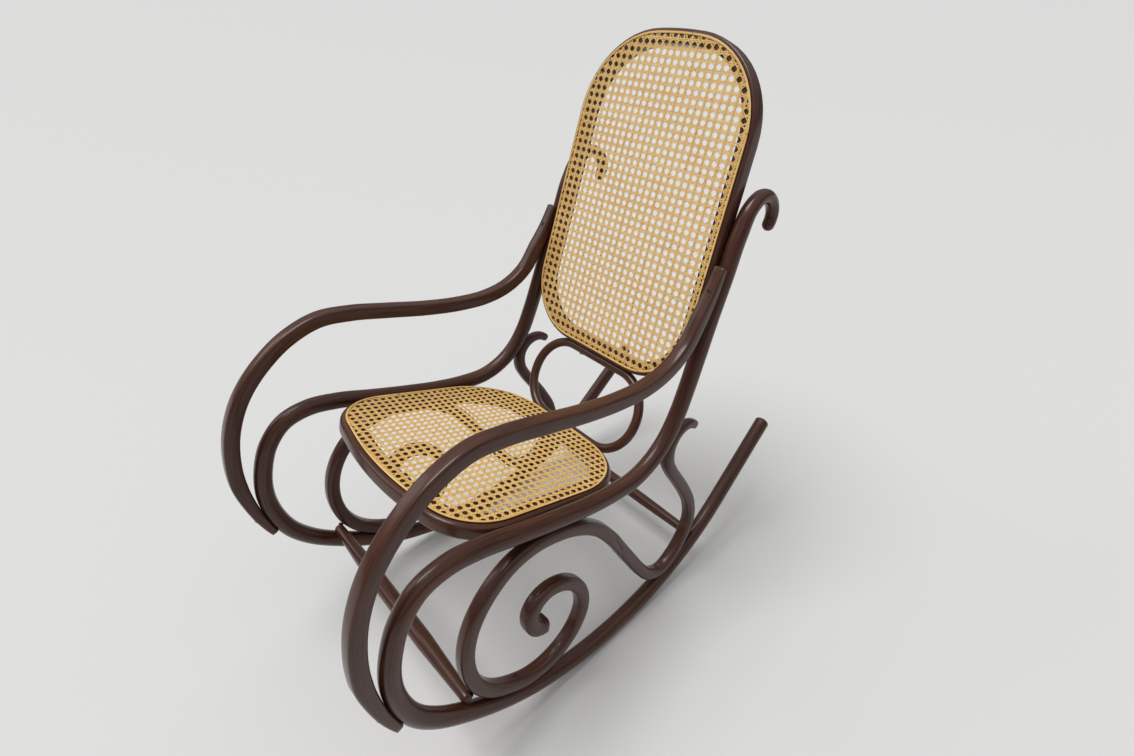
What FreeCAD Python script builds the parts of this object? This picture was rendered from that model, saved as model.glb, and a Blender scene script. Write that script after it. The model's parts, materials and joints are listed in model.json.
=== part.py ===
"""Bentwood rocking chair with a caned seat and a caned back.

Millimetres, +Z up. The sitter faces -Y and the sitter's left is +X. The floor is Z = 0.
Each side of the chair is flat: all its bent rods lie in one upright plane. The two planes
close in a little towards the back, so the chair is widest at its front loops.
Points of a rod are (y, z) pairs on the centre line, drawn in its side plane.
"""
import math
import os

import FreeCAD
import Part
from FreeCAD import Vector

os.makedirs("parts", exist_ok=True)

# Side planes
SIDE_X = 246.5              # half the distance between the two side planes, at y = 0
TOE_IN = 0.026              # how much closer each plane comes per millimetre of +y
BITE = 0.8                  # how deep a rod's seat is cut into the piece that lies against it
HAIRLINE = 0.1              # gap left where two round pieces only touch

# Long side rod: hook, upright, seat rail, front loop and runner in one bent length
LOOP_R = 16.5
HOOK_TIP_R = 12.0
RUNNER_RADIUS = 560.0       # centre line of the part that rolls on the floor
RUNNER_FRONT_ANGLE = 22.5   # degrees of that arc in front of its lowest point
RUNNER_REAR_ANGLE = 38.0    # degrees of that arc behind its lowest point
RUNNER_TAIL = 216.0         # straight rear end of the runner
RUNNER_TIP_ROUNDING = 7.0
HOOK_POINTS = [(429, 767), (438, 791), (425, 818), (394, 829), (362, 815), (335, 777)]
UPRIGHT_POINTS = [(300, 703), (262, 627), (228, 553), (200, 494), (173, 446), (143, 410)]
RAIL_POINTS = [(104, 384), (58, 371), (2, 375), (-62, 389), (-132, 411), (-206, 437), (-275, 462)]
FRONT_POINTS = [(-328, 472), (-373, 463), (-408, 431), (-432, 382), (-444, 328), (-441, 270),
                (-424, 216), (-391, 168), (-352, 131), (-310, 98), (-262, 67)]

# Arm: a soft-edged square rod whose thinned ends lie on the upright and on the front loop
ARM_THICK = 27.0            # in the side plane
ARM_WIDE = 27.0             # across it
ARM_CORNER = 6.0
ARM_TIP_THICK = 14.0
ARM_TIP_WIDE = 24.0
ARM_TOP_POINTS = [(284, 724), (262, 686)]
ARM_POINTS = [(230, 643), (191, 598), (139, 572), (84, 565), (24, 571), (-56, 589), (-135, 613), (-208, 634),
              (-264, 642), (-320, 628), (-377, 593), (-423, 547), (-455, 491), (-473, 430), (-479, 368)]
ARM_FOOT_POINTS = [(-475, 322), (-467, 277), (-454, 234)]

# Inner scroll and rear brace: one curve in two rods, joined by a slanted scarf
SCROLL_R = 13.5
SCROLL_EYE_R = 16.0
SCROLL_EYE_POINTS = [(-177, 187), (-193, 194), (-203, 213), (-203, 235), (-191, 253)]
SCROLL_POINTS = [(-166, 263), (-136, 256), (-106, 231), (-88, 193), (-87, 152), (-104, 117), (-135, 90),
                 (-174, 77), (-219, 80), (-262, 102), (-298, 134), (-321, 174), (-331, 219), (-327, 273),
                 (-307, 321), (-271, 361), (-226, 386), (-180, 391), (-132, 380), (-88, 359), (-48, 327)]
SCARF_POINTS = [(-10, 274), (21, 214)]
BRACE_POINTS = [(50, 157), (78, 104), (106, 66), (142, 50), (180, 64), (214, 95), (234, 134), (232, 186),
                (212, 237), (187, 284), (166, 322)]
BRACE_HOOK_POINTS = [(155, 352), (158, 382), (179, 407), (209, 413), (233, 401)]
BRACE_R = 13.0
BRACE_TIP_R = 9.5
SCARF_AT = (6, 245)         # middle of the scarf
SCARF_TURN = 14.0           # degrees between the scarf face and the rods' run

# Stretchers between the two sides
STRETCHER_R = 15.5
STRETCHER_REAR_R = 13.0
STRETCHER_END_R = 9.5
STRETCHER_SHOULDER = 150.0  # length over which each end tapers
STRETCHER_PAST = 6.0        # how far the ends run past the side planes
STRETCHER_ROUNDING = 5.7
FRONT_STRETCHER_ON = (-357, 135)    # point of the side rod's centre line that each lies on
REAR_STRETCHER_ON = (252, 60)

# Seat
SEAT_ORIGIN = (-150.0, 429.0)   # (y, z) of a point on the seat's top face
SEAT_SLOPE = 19.2               # degrees down towards the back
SEAT_FRONT = -173.5             # along the slope from the origin
SEAT_REAR = 261.0
SEAT_BOW = 22.5                 # how far the front edge bows out
SEAT_BOW_RADIUS = 630.0
SEAT_REAR_BOW = 3.0
SEAT_REAR_BOW_RADIUS = 1200.0
SEAT_FRONT_CORNER = 108.0
SEAT_REAR_CORNER = 148.0
SEAT_RIM = 38.0                 # width of the bent seat frame
SEAT_DEEP = 28.0
SEAT_ROUNDING = 8.0

# Back
BACK_ORIGIN = (292.3, 750.0)    # (y, z) of a point on the front face
BACK_LEAN = 21.8                # degrees from upright
BACK_TOP = 367.0                # along the lean from the origin
BACK_BOTTOM = -290.0
BACK_BOW = 7.0
BACK_BOW_RADIUS = 700.0
BACK_TOP_CORNER = 178.0
BACK_BOTTOM_CORNER = 132.0
BACK_RIM = 28.0
BACK_DEEP = 30.0
BACK_ROUNDING = 5.0

# Cane panels, and the flat binder that covers their border holes
CANE_THICK = 1.8
SEAT_CANE_EDGE = 9.0        # from the frame's outer edge to the cane's edge
BACK_CANE_EDGE = 7.0
SEAT_GAP_PITCH = 29.2
BACK_GAP_PITCH = 33.2
GAP_SHARE = 0.62            # width of a gap as a share of the pitch
GAP_MARGIN = 1.8            # least width of net between a gap and the wood
BINDER_WIDE = 5.0
BINDER_THICK = 1.2

# Oval ring between seat and back
RING_R = 10.0
RING_WIDE = 316.0           # over its centre line
RING_CORNER = 82.0

# Round-headed screws
SCREW_R = 2.3
SCREW_HEAD_R = 5.0
SCREW_HEAD_HIGH = 2.4
SCREW_HEAD_ROUNDING = 1.4
SCREW_SUNK = 1.2            # how far a head sits in the wood
ARM_SCREW = 36.0
ARM_SCREW_TAPER = 0.4       # how much of the arm's taper has grown back where its screws stand
STRETCHER_SCREW = 40.0
ROD_SCREW = 38.0
FRAME_SCREW = 52.0
RING_SCREW = 34.0
ARM_SCREWS_AT = [(262, 686), (-467, 277)]                   # on the arm's centre line
SCROLL_SCREWS_AT = [(-172, 391), (-254, 97), (140, 50), (159, 386)]   # on the scroll's and the brace's
SEAT_SCREWS_ALONG = [-60.0, 70.0]                           # down the seat's slope
BACK_SCREWS_ALONG = [-150.0, -62.0]                         # up the back's lean
RING_SCREWS_X = 48.0


def tangents(points):
    """Return a unit direction for each point, from the circle through it and its neighbours."""
    found = []
    for i in range(1, len(points) - 1):
        before = points[i] - points[i - 1]
        after = points[i + 1] - points[i]
        found.append((before / before.Length ** 2 + after / after.Length ** 2).normalize())
    first = mirrored(found[0], points[1] - points[0])
    last = mirrored(found[-1], points[-1] - points[-2])
    return [first] + found + [last]


def mirrored(direction, chord):
    """Return the direction at the other end of an arc over a chord."""
    along = Vector(chord).normalize()
    return (along * (2 * along.dot(direction)) - direction).normalize()


def arc_edge(start, direction, end):
    """Return the arc that leaves start in a direction and reaches end."""
    chord = end - start
    side = direction - chord * (direction.dot(chord) / chord.dot(chord))
    if side.Length < 1e-5:
        return Part.LineSegment(start, end).toShape()
    turn = direction.getAngle(chord)
    bulge = Vector(side).normalize() * (chord.Length / 2 * math.tan(turn / 2))
    return Part.Arc(start, start + chord / 2 + bulge, end).toShape()


def biarc_edges(points, directions):
    """Return two tangent arcs for each pair of neighbouring points."""
    edges = []
    for start, end, leave, arrive in zip(points, points[1:], directions, directions[1:]):
        chord = end - start
        both = leave + arrive
        spread = 2 * (1 - leave.dot(arrive))
        if spread < 1e-9:
            edges.append(Part.LineSegment(start, end).toShape())
            continue
        reach = (-chord.dot(both) + math.sqrt(chord.dot(both) ** 2 + spread * chord.dot(chord))) / spread
        middle = (start + leave * reach + end - arrive * reach) / 2
        edges.append(arc_edge(start, leave, middle))
        edges.append(arc_edge(middle, mirrored(leave, middle - start), end))
    return edges


def in_side_plane(pairs):
    """Return vectors for (y, z) pairs."""
    return [Vector(0, y, z) for y, z in pairs]


def round_section(centre, direction, radius):
    """Return a circle across the rod."""
    return Part.Wire([Part.makeCircle(radius, centre, direction)])


def arm_section(centre, direction, wide, thick):
    """Return a rectangle with round corners across the arm."""
    across = Vector(1, 0, 0)
    up = direction.cross(across).normalize()
    corner = ARM_CORNER * thick / ARM_THICK
    corners = [(wide / 2, thick / 2), (-wide / 2, thick / 2), (-wide / 2, -thick / 2), (wide / 2, -thick / 2)]
    place = [centre + across * a + up * b for a, b in corners]
    return rounded_wire(place, [corner] * 4)


def rounded_wire(corners, radii):
    """Return a closed wire of straight sides and tangent corner arcs."""
    edges = []
    starts = []
    ends = []
    for i, corner in enumerate(corners):
        to_last = (corners[i - 1] - corner).normalize()
        to_next = (corners[(i + 1) % len(corners)] - corner).normalize()
        half_turn = (math.pi - to_last.getAngle(to_next)) / 2
        reach = radii[i] * math.tan(half_turn)
        start = corner + to_last * reach
        end = corner + to_next * reach
        towards = (to_last + to_next).normalize()
        middle = corner + towards * (radii[i] / math.cos(half_turn) - radii[i])
        starts.append(start)
        ends.append(end)
        edges.append(Part.Arc(start, middle, end).toShape())
    outline = []
    for i, arc in enumerate(edges):
        outline.append(arc)
        following = starts[(i + 1) % len(starts)]
        if (following - ends[i]).Length > 1e-4:
            outline.append(Part.LineSegment(ends[i], following).toShape())
    return Part.Wire(outline)


def sweep(edges, sections):
    """Return the solid of one or two sections along tangent edges."""
    return Part.Wire(edges).makePipeShell(sections, True, False)


def place_side(shape, left=True):
    """Move a piece drawn at x = 0 into the left or the right side plane."""
    placed = shape.copy()
    placed.rotate(Vector(0, 0, 0), Vector(0, 0, 1), math.degrees(math.atan(TOE_IN)))
    placed.translate(Vector(SIDE_X, 0, 0))
    if left:
        return placed
    return placed.mirror(Vector(0, 0, 0), Vector(1, 0, 0))


def runner_point(degrees):
    """Return a point of the runner's arc, and its direction towards the back."""
    turn = math.radians(degrees)
    point = Vector(0, RUNNER_RADIUS * math.sin(turn), RUNNER_RADIUS * (1 - math.cos(turn)))
    return point, Vector(0, math.cos(turn), math.sin(turn))


def side_loop():
    """Return the long side rod."""
    front, front_direction = runner_point(-RUNNER_FRONT_ANGLE)
    low, low_direction = runner_point(0)
    rear, rear_direction = runner_point(RUNNER_REAR_ANGLE)
    points = in_side_plane(HOOK_POINTS + UPRIGHT_POINTS + RAIL_POINTS + FRONT_POINTS) + [front]
    directions = tangents(points)
    directions[-1] = front_direction
    edges = biarc_edges(points, directions)
    hook_edges = 2 * (len(HOOK_POINTS) - 1)
    hook = sweep(edges[:hook_edges], [
        round_section(points[0], directions[0], HOOK_TIP_R),
        round_section(points[len(HOOK_POINTS) - 1], directions[len(HOOK_POINTS) - 1], LOOP_R)])
    tip = Part.makeSphere(HOOK_TIP_R, points[0])
    tail = rear + rear_direction * RUNNER_TAIL
    half = RUNNER_REAR_ANGLE / 2
    body_edges = edges[hook_edges:]
    body_edges.append(arc_edge(front, front_direction, low))
    body_edges.append(arc_edge(low, low_direction, runner_point(half)[0]))
    body_edges.append(arc_edge(runner_point(half)[0], runner_point(half)[1], rear))
    body_edges.append(Part.LineSegment(rear, tail).toShape())
    start = points[len(HOOK_POINTS) - 1]
    body = sweep(body_edges, [round_section(start, directions[len(HOOK_POINTS) - 1], LOOP_R)])
    ends = [edge for edge in body.Edges if edge.Closed and (edge.CenterOfMass - tail).Length < 1]
    body = body.makeFillet(RUNNER_TIP_ROUNDING, ends)
    return body.fuse([hook, tip])


def arm():
    """Return an arm, before it is fitted to the side rod."""
    points = in_side_plane(ARM_TOP_POINTS + ARM_POINTS + ARM_FOOT_POINTS)
    directions = tangents(points)
    edges = biarc_edges(points, directions)
    first = len(ARM_TOP_POINTS)
    last = first + len(ARM_POINTS) - 1
    tip = (ARM_TIP_WIDE, ARM_TIP_THICK)
    body = (ARM_WIDE, ARM_THICK)
    sections = []
    for index, size in ((0, tip), (first, body), (last, body), (-1, tip)):
        sections.append(arm_section(points[index], directions[index], *size))
    top = sweep(edges[:2 * first], sections[:2])
    middle = sweep(edges[2 * first:2 * last], [sections[1]])
    foot = sweep(edges[2 * last:], sections[2:])
    return middle.fuse([top, foot])


def half_space(point, normal):
    """Return a large block that lies on the side of a plane that its normal points to."""
    size = 600.0
    block = Part.makeBox(size, size, size, Vector(-size / 2, -size / 2, 0))
    block.Placement = FreeCAD.Placement(point, FreeCAD.Rotation(Vector(0, 0, 1), normal))
    return block


def scroll_and_brace():
    """Return the inner scroll and the rear brace, parted by their scarf."""
    eye = in_side_plane(SCROLL_EYE_POINTS)
    brace_points = BRACE_POINTS + BRACE_HOOK_POINTS
    points = in_side_plane(SCROLL_EYE_POINTS + SCROLL_POINTS + SCARF_POINTS + brace_points)
    directions = tangents(points)
    edges = biarc_edges(points, directions)
    eye_end = len(eye)
    scarf = eye_end + len(SCROLL_POINTS)
    hook = len(points) - len(BRACE_HOOK_POINTS)
    curl = sweep(edges[:2 * eye_end], [
        round_section(points[0], directions[0], SCROLL_EYE_R),
        round_section(points[eye_end], directions[eye_end], SCROLL_R)])
    scroll = sweep(edges[2 * eye_end:2 * scarf + 2], [
        round_section(points[eye_end], directions[eye_end], SCROLL_R)])
    brace = sweep(edges[2 * scarf - 2:2 * hook], [
        round_section(points[scarf - 1], directions[scarf - 1], SCROLL_R),
        round_section(points[hook], directions[hook], BRACE_R)])
    brace_hook = sweep(edges[2 * hook:], [
        round_section(points[hook], directions[hook], BRACE_R),
        round_section(points[-1], directions[-1], BRACE_TIP_R)])
    brace_tip = Part.makeSphere(BRACE_TIP_R, points[-1])
    run = (points[scarf + 1] - points[scarf]).normalize()
    turn = math.radians(SCARF_TURN)
    across = Vector(0, -run.z, run.y)
    normal = run * math.sin(turn) + across * math.cos(turn)
    middle = Vector(0, *SCARF_AT)
    scroll = scroll.fuse(curl).cut(half_space(middle, normal))
    brace = brace.cut(half_space(middle, normal * -1)).fuse([brace_hook, brace_tip])
    return scroll, brace


def stretcher(point, on_radius, middle_r):
    """Return a turned stretcher that lies on both side rods above a point of their centre line."""
    y, z = point
    centre = Vector(0, 0, RUNNER_RADIUS)
    out = (centre - Vector(0, y, z)).normalize() * (on_radius + STRETCHER_END_R - BITE)
    seat = Vector(0, y, z) + out
    half = SIDE_X - TOE_IN * seat.y + STRETCHER_PAST
    middle = half - STRETCHER_SHOULDER
    profile = [Vector(-half, 0, 0), Vector(-half, STRETCHER_END_R, 0), Vector(-middle, middle_r, 0),
               Vector(middle, middle_r, 0), Vector(half, STRETCHER_END_R, 0), Vector(half, 0, 0)]
    wire = Part.Wire(Part.makePolygon(profile + profile[:1]).Edges)
    turned = Part.Face(wire).revolve(Vector(0, 0, 0), Vector(1, 0, 0), 360)
    rims = [edge for edge in turned.Edges if edge.Closed and abs(abs(edge.CenterOfMass.x) - half) < 0.1]
    turned = turned.makeFillet(STRETCHER_ROUNDING, rims)
    turned.translate(seat)
    return turned


def frame_turn(origin, degrees):
    """Return the placement that lays a flat outline on a sloping face of the chair."""
    y, z = origin
    return FreeCAD.Placement(Vector(0, y, z), FreeCAD.Rotation(Vector(1, 0, 0), degrees))


SEAT_PLACE = frame_turn(SEAT_ORIGIN, -SEAT_SLOPE)
BACK_PLACE = frame_turn(BACK_ORIGIN, 90 - BACK_LEAN)


def side_gap(place, along):
    """Return the half width between the side rods at a distance along a sloping face."""
    y = place.multVec(Vector(0, along, 0)).y
    return SIDE_X - TOE_IN * y - LOOP_R * math.hypot(1, TOE_IN) + BITE


def seat_outline(inset):
    """Return the seat frame's outline, moved inwards."""
    front, rear = SEAT_FRONT + inset, SEAT_REAR - inset
    front_x = side_gap(SEAT_PLACE, SEAT_FRONT) - inset
    rear_x = side_gap(SEAT_PLACE, SEAT_REAR) - inset
    corners = [Vector(-front_x, front + SEAT_BOW, 0), Vector(0, front - SEAT_BOW / 2, 0),
               Vector(front_x, front + SEAT_BOW, 0), Vector(rear_x, rear - SEAT_REAR_BOW, 0),
               Vector(0, rear + SEAT_REAR_BOW / 2, 0), Vector(-rear_x, rear - SEAT_REAR_BOW, 0)]
    front_r, rear_r = SEAT_FRONT_CORNER - inset, SEAT_REAR_CORNER - inset
    return rounded_wire(corners, [front_r, SEAT_BOW_RADIUS, front_r, rear_r, SEAT_REAR_BOW_RADIUS, rear_r])


def back_outline(inset):
    """Return the back frame's outline, moved inwards."""
    top, bottom = BACK_TOP - inset, BACK_BOTTOM + inset
    top_x = side_gap(BACK_PLACE, BACK_TOP) - inset
    bottom_x = side_gap(BACK_PLACE, BACK_BOTTOM) - inset
    corners = [Vector(-bottom_x, bottom, 0), Vector(bottom_x, bottom, 0), Vector(top_x, top - BACK_BOW, 0),
               Vector(0, top + BACK_BOW / 2, 0), Vector(-top_x, top - BACK_BOW, 0)]
    top_r, bottom_r = BACK_TOP_CORNER - inset, BACK_BOTTOM_CORNER - inset
    return rounded_wire(corners, [bottom_r, bottom_r, top_r, BACK_BOW_RADIUS, top_r])


def bent_frame(outline, rim, deep, rounding, place):
    """Return a bent frame of rectangular section whose outer and inner edges are rounded."""
    outer = Part.Face(outline(0)).extrude(Vector(0, 0, -deep))
    inner = Part.Face(outline(rim)).extrude(Vector(0, 0, -deep))
    outer_edges = [edge for edge in outer.Edges if abs(abs(edge.CenterOfMass.z + deep / 2) - deep / 2) < 0.01]
    ring = outer.makeFillet(rounding, outer_edges).cut(inner)
    ring.Placement = place
    return ring


def gap_centres(outline, pitch, margin):
    """Return the middles of the gaps that lie inside an outline."""
    face = Part.Face(outline(margin))
    box = face.BoundBox
    centres = []
    count_x = int(box.XMax / pitch)
    middle_y = (box.YMin + box.YMax) / 2
    count_y = int((box.YMax - box.YMin) / 2 / pitch)
    for i in range(-count_x, count_x + 1):
        for j in range(-count_y, count_y + 1):
            centre = Vector(i * pitch, middle_y + j * pitch, 0)
            if face.isInside(centre, 0.01, True):
                centres.append(centre)
    return centres


def octagon(centre, wide):
    """Return an eight-sided gap."""
    radius = wide / 2 / math.cos(math.pi / 8)
    corners = []
    for i in range(8):
        turn = math.pi / 8 + i * math.pi / 4
        corners.append(centre + Vector(math.cos(turn), math.sin(turn), 0) * radius)
    return Part.makePolygon(corners + corners[:1])


def cane_sheet(outline, edge, rim, pitch, place):
    """Return a caned panel: one thin sheet with a regular net of gaps."""
    wide = pitch * GAP_SHARE
    gaps = gap_centres(outline, pitch, rim + wide / 2 + GAP_MARGIN)
    print("gaps in the cane sheet:", len(gaps))
    face = Part.Face([outline(edge)] + [octagon(centre, wide) for centre in gaps])
    face.validate()
    sheet = face.extrude(Vector(0, 0, CANE_THICK))
    sheet.Placement = place
    return sheet


def binder(outline, edge, place):
    """Return the flat strip that covers the border holes of a caned panel."""
    outer = Part.Face(outline(edge)).extrude(Vector(0, 0, BINDER_THICK))
    inner = Part.Face(outline(edge + BINDER_WIDE)).extrude(Vector(0, 0, BINDER_THICK))
    strip = outer.cut(inner)
    strip.translate(Vector(0, 0, CANE_THICK))
    strip.Placement = place.multiply(strip.Placement)
    return strip


def ring_ends():
    """Return the ring's lowest centre, behind the seat frame, and its highest, under the back frame."""
    seat_rear = seat_outline(0).BoundBox.YMax
    low = SEAT_PLACE.multVec(Vector(0, seat_rear + RING_R + HAIRLINE, -SEAT_DEEP / 2))
    high = BACK_PLACE.multVec(Vector(0, BACK_BOTTOM - RING_R - HAIRLINE, -BACK_DEEP / 2))
    return low, high


def lower_ring():
    """Return the oval ring that stands on the seat frame and carries the foot of the back frame."""
    low, high = ring_ends()
    half = RING_WIDE / 2
    tall = (high - low).Length
    corners = [Vector(-half, 0, 0), Vector(half, 0, 0), Vector(half, tall, 0), Vector(-half, tall, 0)]
    edges = rounded_wire(corners, [RING_CORNER] * 4).OrderedEdges
    first = edges[0]
    parameter = first.LastParameter if first.Orientation == "Reversed" else first.FirstParameter
    ring = sweep(edges, [round_section(first.valueAt(parameter), first.tangentAt(parameter), RING_R)])
    tilt = math.degrees(math.atan2(high.z - low.z, high.y - low.y))
    ring.Placement = FreeCAD.Placement(low, FreeCAD.Rotation(Vector(1, 0, 0), tilt))
    return ring


def screw(point, direction, length):
    """Return a round-headed screw whose head seats at a point."""
    head = Part.makeCylinder(SCREW_HEAD_R, SCREW_HEAD_HIGH, Vector(0, 0, -SCREW_HEAD_HIGH), Vector(0, 0, 1))
    rim = [edge for edge in head.Edges if edge.Closed and edge.CenterOfMass.z < -SCREW_HEAD_HIGH + 0.01]
    head = head.makeFillet(SCREW_HEAD_ROUNDING, rim)
    whole = head.fuse(Part.makeCylinder(SCREW_R, length))
    whole.Placement = FreeCAD.Placement(point, FreeCAD.Rotation(Vector(0, 0, 1), direction))
    return whole


def screw_through(centre, half_thick, direction, length):
    """Return a screw whose head sits a little sunk in the far side of a rod."""
    direction = Vector(direction).normalize()
    return screw(centre - direction * (half_thick - SCREW_SUNK), direction, length)


def towards_rod(centre, rod_points):
    """Return the direction from a point to the nearest place on a rod's centre line."""
    line = Part.Wire(biarc_edges(rod_points, tangents(rod_points)))
    nearest = line.distToShape(Part.Vertex(centre))[1][0][0]
    return (nearest - centre).normalize()


def side_screws(centres, half_thick, length):
    """Return the screws that join rods of one side to the long side rod, drawn at x = 0."""
    front = runner_point(-RUNNER_FRONT_ANGLE)[0]
    rolling = [runner_point(turn)[0] for turn in range(-20, 31, 10)]
    long_rod = in_side_plane(HOOK_POINTS + UPRIGHT_POINTS + RAIL_POINTS + FRONT_POINTS) + [front] + rolling
    screws = []
    for centre in in_side_plane(centres):
        screws.append(screw_through(centre, half_thick, towards_rod(centre, long_rod), length))
    return screws


def both_sides(drawn):
    """Return copies of pieces drawn at x = 0 in the left and in the right side plane."""
    return [place_side(one, left) for one in drawn for left in (True, False)]


def stretcher_screws():
    """Return the screws through the stretchers' ends into the side rods."""
    screws = []
    for y, z in (FRONT_STRETCHER_ON, REAR_STRETCHER_ON):
        rod = Vector(0, y, z)
        out = (Vector(0, 0, RUNNER_RADIUS) - rod).normalize()
        seat = rod + out * (LOOP_R + STRETCHER_END_R - BITE)
        for side in (-1, 1):
            centre = Vector(side * (SIDE_X - TOE_IN * y), seat.y, seat.z)
            screws.append(screw_through(centre, STRETCHER_END_R, out * -1, STRETCHER_SCREW))
    return screws


def frame_screws(place, along, rim, deep):
    """Return the screws that run outwards through a bent frame into the side rods."""
    screws = []
    for distance in along:
        for side in (-1, 1):
            inner = Vector(side * (side_gap(place, distance) - rim), distance, -deep / 2)
            outwards = Vector(side, 0, 0)
            screws.append(screw(place.multVec(inner), outwards, FRAME_SCREW))
    return screws


def ring_screws():
    """Return the screws from the ring into the seat frame and into the foot of the back frame."""
    low, high = ring_ends()
    forwards = SEAT_PLACE.Rotation.multVec(Vector(0, -1, 0))
    upwards = BACK_PLACE.Rotation.multVec(Vector(0, 1, 0))
    screws = []
    for side in (-1, 1):
        aside = Vector(side * RING_SCREWS_X, 0, 0)
        screws.append(screw_through(low + aside, RING_R, forwards, RING_SCREW))
        screws.append(screw_through(high + aside, RING_R, upwards, RING_SCREW))
    return screws


def build_sides():
    """Return the rods of both sides, and the screws that hold them together."""
    arm_half = (ARM_TIP_THICK + (ARM_THICK - ARM_TIP_THICK) * ARM_SCREW_TAPER) / 2
    arm_screws = side_screws(ARM_SCREWS_AT, arm_half, ARM_SCREW)
    rod_screws = side_screws(SCROLL_SCREWS_AT, SCROLL_R, ROD_SCREW)
    loop = side_loop()
    scroll, brace = scroll_and_brace()
    drawn = {
        "side_loop": loop.cut(arm_screws + rod_screws),
        "arm": arm().cut([loop] + arm_screws),
        "inner_scroll": scroll.cut([loop] + rod_screws[:2]),
        "rear_brace": brace.cut([loop] + rod_screws[2:]),
    }
    pieces = {}
    for name, piece in drawn.items():
        pieces[f"left_{name}"] = place_side(piece, True)
        pieces[f"right_{name}"] = place_side(piece, False)
    return pieces, {"arm_screws": both_sides(arm_screws), "rod_screws": both_sides(rod_screws)}


def build():
    """Return every node of the chair as it was drawn, before it finds its balance."""
    pieces, side_fixings = build_sides()
    loops = both_sides([side_loop()])
    pieces["front_stretcher"] = stretcher(FRONT_STRETCHER_ON, LOOP_R, STRETCHER_R).cut(loops)
    pieces["rear_stretcher"] = stretcher(REAR_STRETCHER_ON, LOOP_R, STRETCHER_REAR_R).cut(loops)
    seat_frame = bent_frame(seat_outline, SEAT_RIM, SEAT_DEEP, SEAT_ROUNDING, SEAT_PLACE)
    back_frame = bent_frame(back_outline, BACK_RIM, BACK_DEEP, BACK_ROUNDING, BACK_PLACE)
    pieces["seat_frame"] = seat_frame.cut(loops)
    pieces["back_frame"] = back_frame.cut(loops)
    pieces["back_lower_ring"] = lower_ring()
    screws = {
        "stretcher_screws": stretcher_screws(),
        "seat_frame_screws": frame_screws(SEAT_PLACE, SEAT_SCREWS_ALONG, SEAT_RIM, SEAT_DEEP),
        "back_frame_screws": frame_screws(BACK_PLACE, BACK_SCREWS_ALONG, BACK_RIM, BACK_DEEP),
        "ring_screws": ring_screws(),
    }
    for name, piece in pieces.items():
        near = [one for group in screws.values() for one in group if one.BoundBox.intersect(piece.BoundBox)]
        if near:
            pieces[name] = piece.cut(near)
    screws.update(side_fixings)
    for name, group in screws.items():
        pieces[name] = Part.makeCompound(group)
    pieces["seat_cane"] = cane_sheet(seat_outline, SEAT_CANE_EDGE, SEAT_RIM, SEAT_GAP_PITCH, SEAT_PLACE)
    pieces["back_cane"] = cane_sheet(back_outline, BACK_CANE_EDGE, BACK_RIM, BACK_GAP_PITCH, BACK_PLACE)
    pieces["seat_binder"] = binder(seat_outline, SEAT_CANE_EDGE, SEAT_PLACE)
    pieces["back_binder"] = binder(back_outline, BACK_CANE_EDGE, BACK_PLACE)
    return pieces


def centre_of_mass(pieces):
    """Return the middle of mass of the wood and cane, all taken as equally dense."""
    volume = 0.0
    moment = Vector(0, 0, 0)
    for name, piece in pieces.items():
        if "screws" in name:
            continue
        for solid in piece.Solids:
            volume += solid.Volume
            moment += solid.CenterOfMass * solid.Volume
    return moment / volume


def rest_on_floor(pieces):
    """Rock the chair to its balance, stand it on the floor and centre it over the origin."""
    balance = centre_of_mass(pieces)
    rock = -math.degrees(math.atan2(balance.y, RUNNER_RADIUS - balance.z))
    print(f"centre of mass y {balance.y:.1f} z {balance.z:.1f}, rocked by {rock:.4f} degrees")
    centre = Vector(0, 0, RUNNER_RADIUS)
    for piece in pieces.values():
        piece.rotate(centre, Vector(1, 0, 0), rock)
    front = min(piece.optimalBoundingBox(False).YMin for piece in pieces.values())
    rear = max(piece.optimalBoundingBox(False).YMax for piece in pieces.values())
    print(f"moved by {-(front + rear) / 2:.3f} along y")
    for piece in pieces.values():
        piece.translate(Vector(0, -(front + rear) / 2, LOOP_R))


def main():
    """Build the chair and write one file for each node."""
    chair = build()
    rest_on_floor(chair)
    for node, shape in chair.items():
        print(f"{node}: {len(shape.Solids)} solids, {shape.Volume / 1000:.1f} cm3, valid {shape.isValid()}")
        shape.exportStep(f"parts/{node}.step")


if __name__ == "__main__":
    main()
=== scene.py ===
"""The looks of a bentwood rocking chair with a caned seat and a caned back.

Metres, +Z up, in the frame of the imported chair: the sitter faces -Y and the sitter's left is +X.
Rods are drawn in their own flat side plane as (y, z) millimetre points and swept there, so the
grain runs along every bend as it does in steamed wood. Cane is woven strand by strand.
"""

import json
import logging
import math
import random
from dataclasses import dataclass, field
from enum import Enum

import bmesh
import bpy
from mathutils import Matrix, Vector
from mathutils.geometry import interpolate_bezier

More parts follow.
